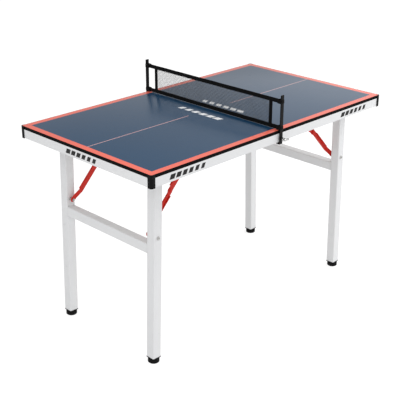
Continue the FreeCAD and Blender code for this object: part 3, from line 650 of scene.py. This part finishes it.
def make_floor():
    mesh_data = bmesh.new()
    bmesh.ops.create_grid(mesh_data, x_segments=1, y_segments=1, size=FLOOR_HALF)
    mesh = as_mesh(mesh_data, "studio_floor")
    floor = bpy.data.objects.new("studio_floor", mesh)
    bpy.context.scene.collection.objects.link(floor)
    paint = Paint("studio_white")
    paint.surface.inputs["Base Color"].default_value = rgb(FLOOR_SHADE, FLOOR_SHADE, FLOOR_SHADE)
    paint.surface.inputs["Roughness"].default_value = 1.0
    paint.surface.inputs["Specular IOR Level"].default_value = 0.0
    paint.surface.inputs["Emission Color"].default_value = rgb(1.0, 1.0, 1.0)
    paint.surface.inputs["Emission Strength"].default_value = FLOOR_GLOW
    white = paint.node("ShaderNodeEmission", {}, {"Strength": FLOOR_WHITE}).outputs[0]
    seen = Value(paint, paint.node("ShaderNodeLightPath").outputs["Is Camera Ray"])
    inputs = {0: seen * FLOOR_WHITE_SHARE, 1: paint.surface.outputs[0], 2: white}
    lifted = paint.node("ShaderNodeMixShader", {}, inputs).outputs[0]
    clear = paint.node("ShaderNodeBsdfTransparent").outputs[0]
    beneath = paint.node("ShaderNodeNewGeometry").outputs["Backfacing"]
    inputs = {0: beneath, 1: lifted, 2: clear}
    shown = paint.node("ShaderNodeMixShader", {}, inputs).outputs[0]
    paint.links.new(shown, paint.nodes["Material Output"].inputs["Surface"])
    mesh.materials.append(paint.material)


def make_world():
    """White surround, brighter on the right of the table than on its left."""
    world = bpy.data.worlds.new("studio")
    bpy.context.scene.world = world
    world.use_nodes = True
    nodes, links = world.node_tree.nodes, world.node_tree.links
    ground = nodes["Background"]
    ground.inputs["Color"].default_value = rgb(1.0, 1.0, 1.0)
    direction = nodes.new("ShaderNodeTexCoord").outputs["Generated"]
    dot = nodes.new("ShaderNodeVectorMath")
    dot.operation = "DOT_PRODUCT"
    dot.inputs[1].default_value = (0.7071, -0.7071, 0.0)
    links.new(direction, dot.inputs[0])
    spread = nodes.new("ShaderNodeMapRange")
    links.new(dot.outputs["Value"], spread.inputs["Value"])
    spread.inputs["From Min"].default_value = -SURROUND_BLEND
    spread.inputs["From Max"].default_value = SURROUND_BLEND
    spread.inputs["To Min"].default_value = SURROUND_LEFT
    spread.inputs["To Max"].default_value = SURROUND_RIGHT
    seen = nodes.new("ShaderNodeLightPath").outputs["Is Camera Ray"]
    brighter = nodes.new("ShaderNodeMath")
    brighter.operation = "MAXIMUM"
    links.new(spread.outputs[0], brighter.inputs[0])
    links.new(seen, brighter.inputs[1])
    links.new(brighter.outputs[0], ground.inputs["Strength"])


def area_light(name, place, target, size, power):
    data = bpy.data.lights.new(name, "AREA")
    data.shape = "RECTANGLE"
    data.size, data.size_y = size
    data.energy = power
    light = bpy.data.objects.new(name, data)
    light.location = place
    light.rotation_euler = (Vector(target) - Vector(place)).to_track_quat("-Z", "Y").to_euler()
    bpy.context.scene.collection.objects.link(light)


make_floor()
make_world()
area_light("key_softbox", (1.9, -0.9, 1.6), (0.2, 0.0, 0.5), (1.2, 1.2), 18.0)
area_light("left_softbox", (-1.7, -0.4, 1.6), (-0.2, 0.0, 0.45), (1.2, 1.2), 6.0)
area_light("top_softbox", (-0.6, -0.6, 3.0), (0.0, 0.0, 0.7), (1.6, 1.6), 10.0)

# ---------------------------------------------------------------- camera
CAMERA_PLACE = (-2.29334, -2.20600, 1.76474)
CAMERA_YAW = 0.793401
CAMERA_PITCH = 0.408134
CAMERA_ROLL = 0.003322
CAMERA_LENS = 79.712

camera_data = bpy.data.cameras.new("camera")
camera_data.lens = CAMERA_LENS
camera_data.sensor_width = 36.0
camera = bpy.data.objects.new("camera", camera_data)
ahead = Vector(
    (
        math.sin(CAMERA_YAW) * math.cos(CAMERA_PITCH),
        math.cos(CAMERA_YAW) * math.cos(CAMERA_PITCH),
        -math.sin(CAMERA_PITCH),
    )
)
camera.matrix_world = (
    Matrix.Translation(CAMERA_PLACE)
    @ ahead.to_track_quat("-Z", "Y").to_matrix().to_4x4()
    @ Matrix.Rotation(CAMERA_ROLL, 4, "Z")
)
bpy.context.scene.collection.objects.link(camera)
bpy.context.scene.camera = camera
bpy.context.scene.view_settings.view_transform = "Standard"
